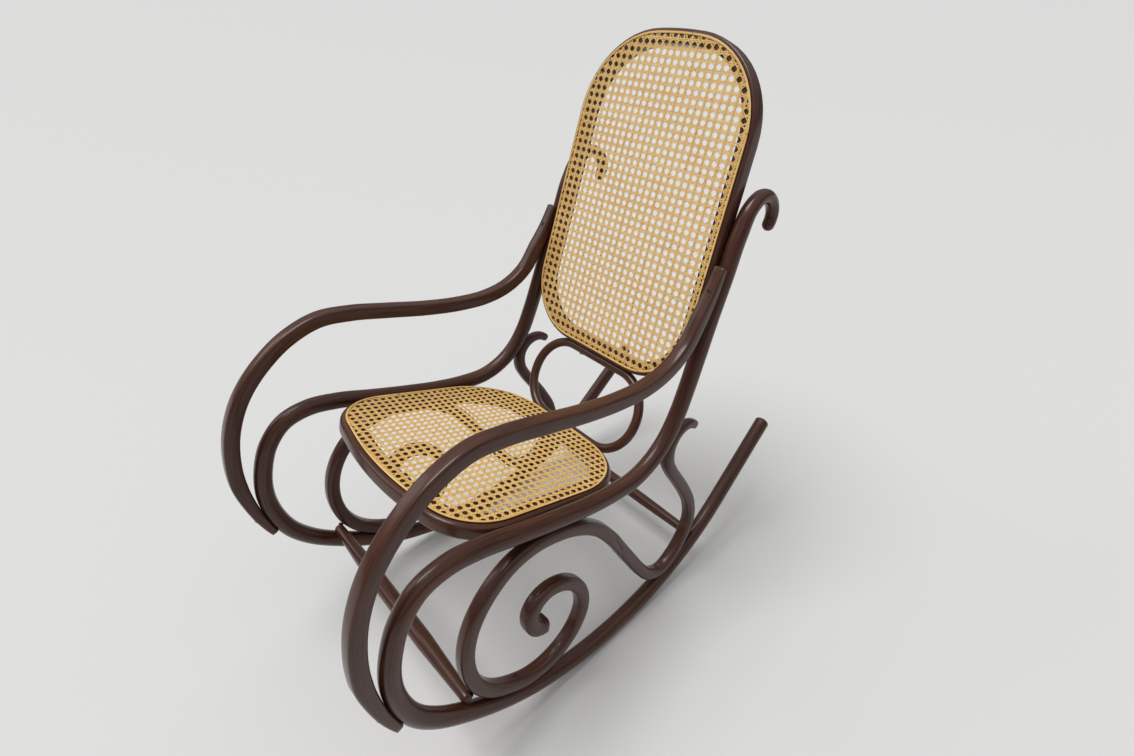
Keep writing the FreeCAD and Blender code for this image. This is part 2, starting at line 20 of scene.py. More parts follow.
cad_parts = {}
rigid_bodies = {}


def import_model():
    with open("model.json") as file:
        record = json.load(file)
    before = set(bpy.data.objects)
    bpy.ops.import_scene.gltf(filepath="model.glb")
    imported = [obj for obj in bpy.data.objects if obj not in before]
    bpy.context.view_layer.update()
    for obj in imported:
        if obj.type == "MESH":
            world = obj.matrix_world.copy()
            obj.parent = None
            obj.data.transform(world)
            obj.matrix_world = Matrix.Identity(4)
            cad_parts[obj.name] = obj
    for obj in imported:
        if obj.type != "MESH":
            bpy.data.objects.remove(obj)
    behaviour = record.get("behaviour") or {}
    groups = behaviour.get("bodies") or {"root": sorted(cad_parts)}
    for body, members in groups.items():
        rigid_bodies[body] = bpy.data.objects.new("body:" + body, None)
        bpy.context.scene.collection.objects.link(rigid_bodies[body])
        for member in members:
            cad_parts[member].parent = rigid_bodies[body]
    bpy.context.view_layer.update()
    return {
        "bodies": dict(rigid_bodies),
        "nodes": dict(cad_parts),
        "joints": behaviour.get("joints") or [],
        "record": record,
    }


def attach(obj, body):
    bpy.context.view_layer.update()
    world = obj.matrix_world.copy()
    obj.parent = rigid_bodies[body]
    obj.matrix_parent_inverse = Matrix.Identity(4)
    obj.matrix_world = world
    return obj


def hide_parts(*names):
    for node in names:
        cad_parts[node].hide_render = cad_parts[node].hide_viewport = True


MM = 0.001
LOG = logging.getLogger("rocking_chair")

# Side planes, and how the balanced chair stands against its drawing
SIDE_X = 246.5
TOE_IN = 0.026
RUNNER_RADIUS = 560.0
ROCKED = -0.5119
MOVED_Y = -12.519
ROD_RADIUS = 16.5

# Centre lines of the bent rods, (y, z) in millimetres
HOOK = [(429, 767), (438, 791), (425, 818), (394, 829), (362, 815), (335, 777)]
UPRIGHT = [(300, 703), (262, 627), (228, 553), (200, 494), (173, 446), (143, 410)]
RAIL = [(104, 384), (58, 371), (2, 375), (-62, 389), (-132, 411), (-206, 437), (-275, 462)]
FRONT_BEND = [(-328, 472), (-373, 463), (-408, 431), (-432, 382), (-444, 328), (-441, 270),
              (-424, 216), (-391, 168), (-352, 131), (-310, 98), (-262, 67)]
ARM = [(284, 724), (262, 686), (230, 643), (191, 598), (139, 572), (84, 565), (24, 571), (-56, 589),
       (-135, 613), (-208, 634), (-264, 642), (-320, 628), (-377, 593), (-423, 547), (-455, 491),
       (-473, 430), (-479, 368), (-475, 322), (-467, 277), (-454, 234)]
SCROLL = [(-177, 187), (-193, 194), (-203, 213), (-203, 235), (-191, 253), (-166, 263), (-136, 256),
          (-106, 231), (-88, 193), (-87, 152), (-104, 117), (-135, 90), (-174, 77), (-219, 80),
          (-262, 102), (-298, 134), (-321, 174), (-331, 219), (-327, 273), (-307, 321), (-271, 361),
          (-226, 386), (-180, 391), (-132, 380), (-88, 359), (-48, 327), (-10, 274), (21, 214)]
BRACE = [(-48, 327), (-10, 274), (21, 214), (50, 157), (78, 104), (106, 66), (142, 50), (180, 64),
         (214, 95), (234, 134), (232, 186), (212, 237), (187, 284), (166, 322), (155, 352),
         (158, 382), (179, 407), (209, 413), (233, 401)]
RUNNER_FRONT_ANGLE = 22.5
RUNNER_REAR_ANGLE = 38.0
RUNNER_TAIL = 216.0
RUNNER_POINTS = 12
TAIL_STATIONS = 24

# The scarf between scroll and brace: a point on it, the rod's run there and its slant in degrees
SCARF_POINT = Vector((0, 6, 245))
SCARF_RUN = Vector((0, 31, -60))
SCARF_TURN = 14.0


class Side(Enum):
    """Which side of the chair a piece stands on."""

    LEFT = 1
    RIGHT = -1

    @property
    def word(self) -> str:
        """The side's name as nodes spell it."""
        return self.name.lower()


class Slot(Enum):
    """The names of the record's material slots."""

    BEECH = "stained_beech"
    CANE = "cane"


def srgb(code: str) -> tuple[float, float, float, float]:
    """Turn an sRGB hex value into linear colour.

    Args:
        code: Six hex digits after a hash.

    Returns:
        Linear red, green, blue and an alpha of 1.
    """
    values = [int(code[i:i + 2], 16) / 255 for i in (1, 3, 5)]
    linear = [v / 12.92 if v <= 0.04045 else ((v + 0.055) / 1.055) ** 2.4 for v in values]
    return (*linear, 1.0)


def add(tree: bpy.types.NodeTree, kind: str, settings: dict | None = None,
        links: dict | None = None) -> bpy.types.Node:
    """Add a shader node with its settings and incoming links.

    Args:
        tree: The material's node tree.
        kind: The node's type name.
        settings: Properties by name, and socket values by their index or name in a tuple.
        links: Output sockets by the input's name or index.

    Returns:
        The new node.
    """
    node = tree.nodes.new(kind)
    for name, value in (settings or {}).items():
        if isinstance(name, tuple):
            node.inputs[name[0]].default_value = value
        else:
            setattr(node, name, value)
    for name, output in (links or {}).items():
        tree.links.new(output, node.inputs[name])
    return node


def ramp(tree: bpy.types.NodeTree, value: bpy.types.NodeSocket, low: float, high: float,
         colours: tuple) -> bpy.types.Node:
    """Add a colour ramp between two positions.

    Args:
        tree: The material's node tree.
        value: What drives the ramp.
        low: Position of the first colour.
        high: Position of the second colour.
        colours: The two linear colours.

    Returns:
        The ramp node.
    """
    node = add(tree, "ShaderNodeValToRGB", links={"Fac": value})
    for element, place, colour in zip(node.color_ramp.elements, (low, high), colours):
        element.position = place
        element.color = colour
    return node


def new_material(name: str) -> tuple[bpy.types.Material, bpy.types.NodeTree, bpy.types.Node]:
    """Start a node material.

    Args:
        name: The finish's own name.

    Returns:
        The material, its tree and its Principled shader.
    """
    material = bpy.data.materials.new(name)
    material.use_nodes = True
    tree = material.node_tree
    return material, tree, tree.nodes["Principled BSDF"]


GREY = ((0, 0, 0, 1), (1, 1, 1, 1))


@dataclass(frozen=True)
class StainedBeech:
    """Steam-bent beech under a dark walnut stain and a thin shellac, rubbed by hand for years.

    The stain hides most of the figure, so the eye gets a warm near-black brown with fine streaks
    that follow each bend, short darker ray flecks and a soft, slightly uneven shine.
    """

    dark: str = "#29150E"
    warm: str = "#553021"
    worn: str = "#7B503C"
    streak_mm: float = 1.1
    streak_long_mm: float = 75.0
    fleck_mm: float = 0.7
    fleck_long_mm: float = 5.0
    drift_mm: float = 30.0
    drift_long_mm: float = 330.0
    roughness: tuple[float, float] = (0.26, 0.38)

    def stretched(self, tree: bpy.types.NodeTree, across_mm: float, along_mm: float,
                  detail: float) -> bpy.types.NodeSocket:
        """Add noise that is drawn out along the grain.

        Args:
            tree: The material's node tree.
            across_mm: Real width of its features.
            along_mm: Real length of its features.
            detail: How much finer detail it holds.

        Returns:
            The noise value.
        """
        grain = add(tree, "ShaderNodeAttribute", {"attribute_name": "grain"})
        scale = (1000 / across_mm, 1000 / across_mm, 1000 / along_mm)
        placed = add(tree, "ShaderNodeMapping", {("Scale",): scale},
                     {"Vector": grain.outputs["Vector"]})
        noise = add(tree, "ShaderNodeTexNoise", {("Scale",): 1.0, ("Detail",): detail},
                    {"Vector": placed.outputs["Vector"]})
        return noise.outputs["Fac"]

    def build(self) -> bpy.types.Material:
        """Return the material."""
        material, tree, shader = new_material("stained_bent_beech")
        streaks = self.stretched(tree, self.streak_mm, self.streak_long_mm, 4.0)
        flecks = self.stretched(tree, self.fleck_mm, self.fleck_long_mm, 2.0)
        drift = self.stretched(tree, self.drift_mm, self.drift_long_mm, 3.0)
        body = ramp(tree, streaks, 0.32, 0.68, (srgb(self.dark), srgb(self.warm)))
        rubbed = ramp(tree, drift, 0.56, 0.86, GREY)
        worn = add(tree, "ShaderNodeMix", {"data_type": "RGBA", (7,): srgb(self.worn)},
                   {0: rubbed.outputs["Color"], 6: body.outputs["Color"]})
        pores = ramp(tree, flecks, 0.60, 0.70, ((1, 1, 1, 1), (0.55, 0.5, 0.5, 1)))
        darkened = {"data_type": "RGBA", "blend_type": "MULTIPLY", (0,): 0.7}
        colour = add(tree, "ShaderNodeMix", darkened,
                     {6: worn.outputs[2], 7: pores.outputs["Color"]})
        tree.links.new(colour.outputs[2], shader.inputs["Base Color"])
        smooth, rough = self.roughness
        shine = add(tree, "ShaderNodeMapRange", {("To Min",): smooth, ("To Max",): rough},
                    {"Value": drift})
        tree.links.new(shine.outputs["Result"], shader.inputs["Roughness"])
        bump = add(tree, "ShaderNodeBump", {("Strength",): 0.25, ("Distance",): 0.0002},
                   {"Height": streaks})
        tree.links.new(bump.outputs["Normal"], shader.inputs["Normal"])
        shader.inputs["Specular IOR Level"].default_value = 0.24
        shader.inputs["Coat Weight"].default_value = 0.3
        shader.inputs["Coat Roughness"].default_value = 0.12
        return material


@dataclass(frozen=True)
class RattanCane:
    """Split rattan cane: the glossy outer bark of the vine, pared to flat ribbons.

    Each ribbon has its own straw-to-honey tone, fine lines along it, now and then the brown ring
    of a leaf node, and a waxy sheen on its rounded face.
    """

    straw: str = "#E8C886"
    honey: str = "#D3A353"
    node: str = "#9A6428"
    fibre_mm: float = 0.5
    fibre_long_mm: float = 40.0
    tone_long_mm: float = 130.0
    node_every_mm: float = 260.0

    def build(self) -> bpy.types.Material:
        """Return the material."""
        material, tree, shader = new_material("split_rattan_cane")
        strand = add(tree, "ShaderNodeAttribute", {"attribute_name": "strand"})
        parts = add(tree, "ShaderNodeSeparateXYZ", links={"Vector": strand.outputs["Vector"]})
        finely = (40.0, 250 / self.fibre_mm, 1000 / self.fibre_long_mm)
        along = add(tree, "ShaderNodeMapping", {("Scale",): finely},
                    {"Vector": strand.outputs["Vector"]})
        fibres = add(tree, "ShaderNodeTexNoise", {("Scale",): 1.0, ("Detail",): 3.0},
                     {"Vector": along.outputs["Vector"]})
        slow = add(tree, "ShaderNodeMapping", {("Scale",): (90.0, 1.0, 1000 / self.tone_long_mm)},
                   {"Vector": strand.outputs["Vector"]})
        tone = add(tree, "ShaderNodeTexNoise", {("Scale",): 1.0, ("Detail",): 1.0},
                   {"Vector": slow.outputs["Vector"]})
        base = ramp(tree, tone.outputs["Fac"], 0.30, 0.68, (srgb(self.straw), srgb(self.honey)))
        lines = ramp(tree, fibres.outputs["Fac"], 0.35, 0.6, ((0.80, 0.72, 0.6, 1), (1, 1, 1, 1)))
        darkened = {"data_type": "RGBA", "blend_type": "MULTIPLY", (0,): 0.55}
        lined = add(tree, "ShaderNodeMix", darkened,
                    {6: base.outputs["Color"], 7: lines.outputs["Color"]})
        repeated = {"operation": "MULTIPLY_ADD", (1,): 1000 / self.node_every_mm}
        shifted = add(tree, "ShaderNodeMath", repeated,
                      {0: parts.outputs["Z"], 2: parts.outputs["X"]})
        turns = add(tree, "ShaderNodeMath", {"operation": "FRACT"}, {0: shifted.outputs[0]})
        ring = ramp(tree, turns.outputs[0], 0.985, 0.995, GREY)
        ringed = add(tree, "ShaderNodeMix", {"data_type": "RGBA", (7,): srgb(self.node)},
                     {0: ring.outputs["Color"], 6: lined.outputs[2]})
        tree.links.new(ringed.outputs[2], shader.inputs["Base Color"])
        bump = add(tree, "ShaderNodeBump", {("Strength",): 0.3, ("Distance",): 0.0002},
                   {"Height": fibres.outputs["Fac"]})
        tree.links.new(bump.outputs["Normal"], shader.inputs["Normal"])
        shader.inputs["Roughness"].default_value = 0.42
        return material


@dataclass(frozen=True)
class DulledSteel:
    """Turned steel screw heads, dulled and stained along with the wood around them."""

    steel: str = "#5A524A"
    stained: str = "#33261F"

    def build(self) -> bpy.types.Material:
        """Return the material."""
        material, tree, shader = new_material("dulled_screw_steel")
        place = add(tree, "ShaderNodeTexCoord")
        spots = add(tree, "ShaderNodeTexNoise", {("Scale",): 400.0, ("Detail",): 3.0},
                    {"Vector": place.outputs["Object"]})
        colour = ramp(tree, spots.outputs["Fac"], 0.4, 0.65, (srgb(self.steel), srgb(self.stained)))
        tree.links.new(colour.outputs["Color"], shader.inputs["Base Color"])
        rough = add(tree, "ShaderNodeMapRange", {("To Min",): 0.3, ("To Max",): 0.6},
                    {"Value": spots.outputs["Fac"]})
        tree.links.new(rough.outputs["Result"], shader.inputs["Roughness"])
        shader.inputs["Metallic"].default_value = 1.0
        return material


@dataclass(frozen=True)
class Section:
    """A rod's or a strip's cross-section: a rectangle with rounded corners, in millimetres.

    A corner as large as half the section makes it round.
    """

    half_a: float
    half_b: float
    corner: float
    inner_corner: float | None = None
    corners: int = 24

    def place(self, turn: float) -> tuple[float, float]:
        """Return the outline's point that faces a direction in the section's plane."""
        rounded = self.corner
        if self.inner_corner is not None and math.cos(turn) < 0:
            rounded = self.inner_corner
        a = math.copysign(self.half_a - rounded, math.cos(turn)) + rounded * math.cos(turn)
        b = math.copysign(self.half_b - rounded, math.sin(turn)) + rounded * math.sin(turn)
        return a, b


@dataclass
class Station:
    """One place along a sweep: a point, its direction and the section's scale there.

    The section's first axis, which lies in the sweep's plane, is scaled by flat as well.
    """

    point: Vector
    direction: Vector
    scale: float = 1.0
    along: float = 0.0
    flat: float = 1.0


def tangents(points: list[Vector]) -> list[Vector]:
    """Return a unit direction for each point, from the circle through it and its neighbours."""
    found = []
    for last, here, following in zip(points, points[1:], points[2:]):
        before, after = here - last, following - here
        found.append((before / before.length_squared + after / after.length_squared).normalized())
    first = found[0].reflect((points[1] - points[0]).normalized()) * -1
    final = found[-1].reflect((points[-1] - points[-2]).normalized()) * -1
    return [first] + found + [final]


def smooth_line(points: list[Vector], directions: list[Vector], step: float) -> list[Vector]:
    """Return points along arcs that pass through the given points.

    Args:
        points: What the line passes through.
        directions: The line's direction at each of them.
        step: Wanted distance between returned points.

    Returns:
        Points a step apart, first and last included.
    """
    line = [points[0]]
    for start, end, leave, arrive in zip(points, points[1:], directions, directions[1:]):
        chord = (end - start).length
        reach = chord / 3 / math.cos(leave.angle(arrive) / 4) ** 2
        count = max(2, round(chord / step) + 1)
        handles = (start + leave * reach, end - arrive * reach)
        line += interpolate_bezier(start, *handles, end, count)[1:]
    return [Vector(point) for point in line]


def stations_along(line: list[Vector], closed: bool = False) -> list[Station]:
    """Return stations at a line's points, with directions and distances."""
    found = []
    along = 0.0
    count = len(line)
    for i, point in enumerate(line):
        before = line[i - 1] if closed or i else line[0]
        after = line[(i + 1) % count] if closed else line[min(i + 1, count - 1)]
        if i:
            along += (point - line[i - 1]).length
        found.append(Station(point, (after - before).normalized(), 1.0, along))
    if closed:
        along += (line[0] - line[-1]).length
        found.append(Station(line[0], found[0].direction, 1.0, along))
    return found


def round_ends(stations: list[Station], radius: float, start: bool = True,
               end: bool = True) -> list[Station]:
    """Close a rod with round ends by adding stations that shrink over a quarter circle.

    Args:
        stations: The rod's stations.
        radius: How far the rounding reaches beyond the rod's end.
        start: Whether the first end is rounded.
        end: Whether the last end is rounded.

    Returns:
        The stations with their rounding.
    """
    steps = [math.radians(turn) for turn in (18, 36, 54, 70, 82)]
    result = list(stations)
    for wanted, place, sign in ((start, 0, -1), (end, -1, 1)):
        if not wanted:
            continue
        last = result[place]
        added = []
        for turn in steps:
            reach = sign * radius * math.sin(turn)
            added.append(Station(last.point + last.direction * reach, last.direction,
                                 last.scale * math.cos(turn), last.along + reach, last.flat))
        result = added[::-1] + result if sign < 0 else result + added
    return result


def sweep(stations: list[Station], section: Section, across: Vector,
          closed: bool = False) -> bmesh.types.BMesh:
    """Sweep a section along stations that lie in one plane.

    Args:
        stations: Where the section stands, in order.
        section: Its shape.
        across: The plane's normal, along which the section's second axis points.
        closed: Whether the last station meets the first.

    Returns:
        A new bmesh with a grain layer: the straight rod's own coordinates in metres.
    """
    bm = bmesh.new()
    straight = bm.verts.layers.float_vector.new("straight")
    turn = Matrix.Rotation(math.pi / section.corners, 4, "Z")
    ring = bmesh.ops.create_circle(bm, segments=section.corners, radius=1.0, matrix=turn)["verts"]
    edges = list(bm.edges)
    placed = Matrix.Identity(4)
    for vert in ring:
        a, b = section.place(math.atan2(vert.co.y, vert.co.x))
        vert.co = Vector((a, b, 0)) * MM
        vert[straight] = vert.co
    for i, station in enumerate(stations):
        sideways = across.cross(station.direction).normalized()
        frame = Matrix((sideways, across, station.direction)).transposed().to_4x4()
        scale = Matrix.Diagonal((station.scale * station.flat, station.scale, 1, 1))
        frame = Matrix.Translation(station.point * MM) @ frame @ scale
        if i:
            grown = bmesh.ops.extrude_edge_only(bm, edges=edges)["geom"]
            ring = [part for part in grown if isinstance(part, bmesh.types.BMVert)]
            fresh = set(ring)
            edges = [part for part in grown
                     if isinstance(part, bmesh.types.BMEdge) and set(part.verts) <= fresh]
        bmesh.ops.transform(bm, matrix=frame @ placed.inverted(), verts=ring)
        placed = frame
        for vert in ring:
            vert[straight] = (vert[straight].x, vert[straight].y, station.along * MM)
    if closed:
        bmesh.ops.remove_doubles(bm, verts=bm.verts, dist=1e-6)
    else:
        bmesh.ops.holes_fill(bm, edges=[edge for edge in bm.edges if edge.is_boundary], sides=0)
    bmesh.ops.recalc_face_normals(bm, faces=bm.faces)
    carry_grain(bm, stations[-1].along * MM)
    return bm


def carry_grain(bm: bmesh.types.BMesh, length: float) -> None:
    """Copy the straight rod's coordinates to face corners, without a jump across a closed seam.

    Args:
        bm: The swept bmesh.
        length: The sweep's whole length in metres.
    """
    straight = bm.verts.layers.float_vector["straight"]
    grain = bm.loops.layers.float_vector.new("grain")
    for face in bm.faces:
        face.smooth = True
        furthest = max(vert[straight].z for vert in face.verts)
        for loop in face.loops:
            place = loop.vert[straight].copy()
            if furthest - place.z > length / 2:
                place.z += length
            loop[grain] = place
    bm.verts.layers.float_vector.remove(straight)


def finish_piece(bm: bmesh.types.BMesh, name: str, material: bpy.types.Material,
                 stands_for: tuple[str, ...]) -> bpy.types.Object:
    """Make an object of a bmesh, attach it to the frame's root and hide the nodes that it stands
    for.

    Args:
        bm: The piece's mesh, in the chair's frame.
        name: The piece's name.
        material: Its finish.
        stands_for: The nodes that the piece replaces.

    Returns:
        The object.
    """
    mesh = bpy.data.meshes.new(name)
    bm.to_mesh(mesh)
    bm.free()
    mesh.materials.append(material)
    piece = bpy.data.objects.new(name, mesh)
    bpy.context.scene.collection.objects.link(piece)
    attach(piece, "root")
    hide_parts(*stands_for)
    LOG.info("%s: %d faces", name, len(mesh.polygons))
    return piece


def balance() -> Matrix:
    """Return the move that takes the drawn chair to its balanced place on the floor."""
    pivot = Matrix.Translation((0, 0, RUNNER_RADIUS * MM))
    rocked = pivot @ Matrix.Rotation(math.radians(ROCKED), 4, "X") @ pivot.inverted()
    return Matrix.Translation((0, MOVED_Y * MM, ROD_RADIUS * MM)) @ rocked


def side_place(side: Side) -> Matrix:
    """Return the move from the drawing plane x = 0 to one side of the balanced chair."""
    mirror = Matrix.Diagonal((side.value, 1, 1, 1))
    toed = Matrix.Rotation(math.atan(TOE_IN), 4, "Z")
    return balance() @ mirror @ Matrix.Translation((SIDE_X * MM, 0, 0)) @ toed


def face_place(origin: tuple[float, float], degrees: float) -> Matrix:
    """Return the move that lays a flat drawing on a sloping face of the balanced chair."""
    y, z = origin
    tilted = Matrix.Rotation(math.radians(degrees), 4, "X")
    return balance() @ Matrix.Translation((0, y * MM, z * MM)) @ tilted


def move(bm: bmesh.types.BMesh, place: Matrix) -> bmesh.types.BMesh:
    """Move a bmesh to its place, and keep its faces outwards if the move mirrors it."""
    bmesh.ops.transform(bm, matrix=place, verts=bm.verts)
    if place.determinant() < 0:
        bmesh.ops.reverse_faces(bm, faces=bm.faces)
    return bm


def in_plane(pairs: list[tuple[float, float]]) -> list[Vector]:
    """Return vectors in the drawing plane for (y, z) pairs."""
    return [Vector((0, y, z)) for y, z in pairs]


@dataclass
class SideRods:
    """The four bent rods of one side."""

    side: Side
    beech: bpy.types.Material
    step: float = 7.0
    hook_tip: float = 24.0 / 33.0
    arm_half: float = 13.5
    arm_corner: float = 6.0
    arm_tip_wide: float = 24.0 / 27.0
    arm_tip_thick: float = 14.0 / 27.0
    arm_top_taper: int = 2
    arm_foot_taper: int = 3
    scroll_radius: float = 13.5
    scroll_corner: float = 9.0
    eye_swell: float = 16.0 / 13.5
    eye_long: float = 120.0
    brace_radius: float = 13.0
    brace_corner: float = 10.0
    brace_tip: float = 9.5 / 13.0
    brace_hook_long: float = 110.0

    def runner_point(self, degrees: float) -> Vector:
        """Return a point of the arc that rolls on the floor."""
        turn = math.radians(degrees)
        return Vector((0, RUNNER_RADIUS * math.sin(turn), RUNNER_RADIUS * (1 - math.cos(turn))))

    def side_loop(self) -> bpy.types.Object:
        """Sweep the long rod: hook, upright, rail, front bend and runner."""
        bends = in_plane(HOOK + UPRIGHT + RAIL + FRONT_BEND)
        spread = RUNNER_REAR_ANGLE + RUNNER_FRONT_ANGLE
        angles = [-RUNNER_FRONT_ANGLE + i * spread / (RUNNER_POINTS - 1)
                  for i in range(RUNNER_POINTS)]
        points = bends + [self.runner_point(angle) for angle in angles]
        directions = tangents(points)
        turn = math.radians(RUNNER_REAR_ANGLE)
        out = Vector((0, math.cos(turn), math.sin(turn)))
        directions[-1] = out
        line = smooth_line(points, directions, self.step)
        tail = [line[-1] + out * RUNNER_TAIL * count / TAIL_STATIONS
                for count in range(1, TAIL_STATIONS + 1)]
        stations = stations_along(line + tail)
        hook_long = sum((b - a).length for a, b in zip(bends, bends[1:len(HOOK)]))
        for station in stations:
            share = min(1.0, station.along / hook_long)
            station.scale = self.hook_tip + (1 - self.hook_tip) * share
        stations[-1].direction = out
        stations = round_ends(stations, ROD_RADIUS * self.hook_tip, end=False)
        stations = round_ends(stations[:-1], 9.0, start=False)
        bm = sweep(stations, Section(ROD_RADIUS, ROD_RADIUS, ROD_RADIUS), Vector((1, 0, 0)))
        return self.finish(bm, "side_loop")

    def arm(self) -> bpy.types.Object:
        """Sweep the soft-edged arm, thinned at both ends."""
        points = in_plane(ARM)
        stations = stations_along(smooth_line(points, tangents(points), self.step))
        whole = stations[-1].along
        top, foot = points[:self.arm_top_taper + 1], points[-self.arm_foot_taper - 1:]
        top_long, foot_long = (sum((b - a).length for a, b in zip(end, end[1:]))
                               for end in (top, foot))
        for station in stations:
            share = min(1.0, station.along / top_long, (whole - station.along) / foot_long)
            station.scale = self.arm_tip_wide + (1 - self.arm_tip_wide) * share
            station.flat = (self.arm_tip_thick + (1 - self.arm_tip_thick) * share) / station.scale
        stations = round_ends(stations, 4.0)
        section = Section(self.arm_half, self.arm_half, self.arm_corner)
        bm = sweep(stations, section, Vector((1, 0, 0)))
        return self.finish(bm, "arm")

    def inner_scroll(self) -> bpy.types.Object:
        """Sweep the scroll from its thick eye to the scarf under the seat rail."""
        points = in_plane(SCROLL)
        line = smooth_line(points, tangents(points), self.step)
        stations = stations_along(line)
        for station in stations:
            share = min(1.0, station.along / self.eye_long)
            station.scale = self.eye_swell + (1 - self.eye_swell) * share
        stations = round_ends(stations, 6.0, end=False)
        section = Section(self.scroll_radius, self.scroll_radius, self.scroll_corner)
        bm = sweep(stations, section, Vector((1, 0, 0)))
        self.cut_scarf(bm, keep_behind=False)
        return self.finish(bm, "inner_scroll")

    def rear_brace(self) -> bpy.types.Object:
        """Sweep the brace from the scarf to its small hook."""
        points = in_plane(BRACE)
        stations = stations_along(smooth_line(points, tangents(points), self.step))
        whole = stations[-1].along
        for station in stations:
            to_end = whole - station.along
            body = self.brace_radius + (self.scroll_radius - self.brace_radius) * to_end / whole
            tip = self.brace_tip + (1 - self.brace_tip) * min(1.0, to_end / self.brace_hook_long)
            station.scale = body / self.brace_radius * tip
        stations = round_ends(stations, self.brace_radius * self.brace_tip, start=False)
        section = Section(self.brace_radius, self.brace_radius, self.brace_corner)
        bm = sweep(stations, section, Vector((1, 0, 0)))
        self.cut_scarf(bm, keep_behind=True)
        return self.finish(bm, "rear_brace")

    def cut_scarf(self, bm: bmesh.types.BMesh, keep_behind: bool) -> None:
        """Cut a rod at the slanted scarf that joins the scroll and the brace.

        Args:
            bm: The rod in the drawing plane.
            keep_behind: Whether the part nearer the chair's back stays.
        """
        run = SCARF_RUN.normalized()
        across = Vector((0, -run.z, run.y))
        turn = math.radians(SCARF_TURN)
        normal = run * math.sin(turn) + across * math.cos(turn)
        cut = bmesh.ops.bisect_plane(
            bm, geom=list(bm.verts) + list(bm.edges) + list(bm.faces), dist=1e-7,
            plane_co=SCARF_POINT * MM, plane_no=normal,
            clear_outer=not keep_behind, clear_inner=keep_behind)
        edges = [part for part in cut["geom_cut"] if isinstance(part, bmesh.types.BMEdge)]
        bmesh.ops.holes_fill(bm, edges=edges, sides=0)

    def finish(self, bm: bmesh.types.BMesh, part: str) -> bpy.types.Object:
        """Place a rod on this side and dress it."""
        name = f"{self.side.word}_{part}"
        move(bm, side_place(self.side))
        return finish_piece(bm, f"{name}_wood", self.beech, (name,))

    def build(self) -> None:
        """Build and dress the side's four rods."""
        self.side_loop()
        self.arm()
        self.inner_scroll()
        self.rear_brace()


@dataclass
class Stretcher:
    """A turned stretcher that lies on both runners."""

    name: str
    rod_point: tuple[float, float]
    middle_radius: float
    beech: bpy.types.Material
    end_radius: float = 9.5
    shoulder: float = 150.0
    past: float = 6.0
    bite: float = 0.8

    def build(self) -> bpy.types.Object:
        """Sweep the stretcher's turned profile along its length."""
        rod = Vector((0, *self.rod_point))
        centre = Vector((0, 0, RUNNER_RADIUS))
        seat = rod + (centre - rod).normalized() * (ROD_RADIUS + self.end_radius - self.bite)
        half = SIDE_X - TOE_IN * seat.y + self.past
        stations = []
        steps = 60
        for i in range(steps + 1):
            x = -half + 2 * half * i / steps
            share = min(1.0, (half - abs(x)) / self.shoulder)
            radius = self.end_radius + (self.middle_radius - self.end_radius) * share
            scale = radius / self.middle_radius
            place = Vector((x, seat.y, seat.z))
            stations.append(Station(place, Vector((1, 0, 0)), scale, x + half))
        stations = round_ends(stations[1:-1], 6.0)
        section = Section(self.middle_radius, self.middle_radius, self.middle_radius)
        bm = move(sweep(stations, section, Vector((0, 0, 1))), balance())
        return finish_piece(bm, f"{self.name}_wood", self.beech, (self.name,))


@dataclass
class Outline:
    """A panel's outline on its sloping face: corners with radii, in millimetres."""

    origin: tuple[float, float]
    degrees: float
    low: float
    high: float
    low_bow: float
    high_bow: float
    low_radius: float
    high_radius: float
    bow_radius: float
    rear_bow_radius: float
    bite: float = 0.8

    def half_width(self, along: float) -> float:
        """Return half the width between the side rods at a distance along the face."""
        y = self.origin[0] + along * math.cos(math.radians(self.degrees))
        return SIDE_X - TOE_IN * y - ROD_RADIUS * math.hypot(1, TOE_IN) + self.bite

    def corners(self, inset: float) -> list[tuple[float, float, float]]:
        """Return the outline's corners as x, distance along and radius, moved inwards."""
        low, high = self.low + inset, self.high - inset
        low_x, high_x = self.half_width(self.low) - inset, self.half_width(self.high) - inset
        found = [(-low_x, low + self.low_bow, self.low_radius - inset)]
        if self.low_bow:
            found.append((0, low - self.low_bow / 2, self.bow_radius))
        found.append((low_x, low + self.low_bow, self.low_radius - inset))
        found.append((high_x, high - self.high_bow, self.high_radius - inset))
        found.append((0, high + self.high_bow / 2, self.rear_bow_radius))
        found.append((-high_x, high - self.high_bow, self.high_radius - inset))
        return found

    def line(self, inset: float, step: float) -> list[Vector]:
        """Return evenly spaced points round the outline.

        Args:
            inset: How far the line runs inside the outline.
            step: Wanted spacing.

        Returns:
            Points in the face's plane, anticlockwise.
        """
        corners = self.corners(inset)
        places = [Vector((x, along, 0)) for x, along, _ in corners]
        dense = []
        for i, here in enumerate(places):
            to_last = (places[i - 1] - here).normalized()
            to_next = (places[(i + 1) % len(places)] - here).normalized()
            half_turn = (math.pi - to_last.angle(to_next)) / 2
            radius = corners[i][2]
            centre = here + (to_last + to_next).normalized() * radius / math.cos(half_turn)
            start = here + to_last * radius * math.tan(half_turn)
            spoke = start - centre
            for part in range(13):
                turned = Matrix.Rotation(2 * half_turn * part / 12, 3, "Z") @ spoke
                dense.append(centre + turned)
        return spaced(dense, step)


def spaced(dense: list[Vector], step: float) -> list[Vector]:
    """Return points at an even spacing round a closed line of uneven points.

    Args:
        dense: The closed line's points.
        step: Wanted spacing.

    Returns:
        The evenly spaced points.
    """
    pairs = list(zip(dense, dense[1:] + dense[:1]))
    whole = sum((b - a).length for a, b in pairs)
    count = round(whole / step)
    wanted = [whole * i / count for i in range(count)]
    found = []
    done = 0.0
    for a, b in pairs:
        span = (b - a).length
        while len(found) < count and span and wanted[len(found)] <= done + span:
            found.append(a.lerp(b, (wanted[len(found)] - done) / span))
        done += span
    return found


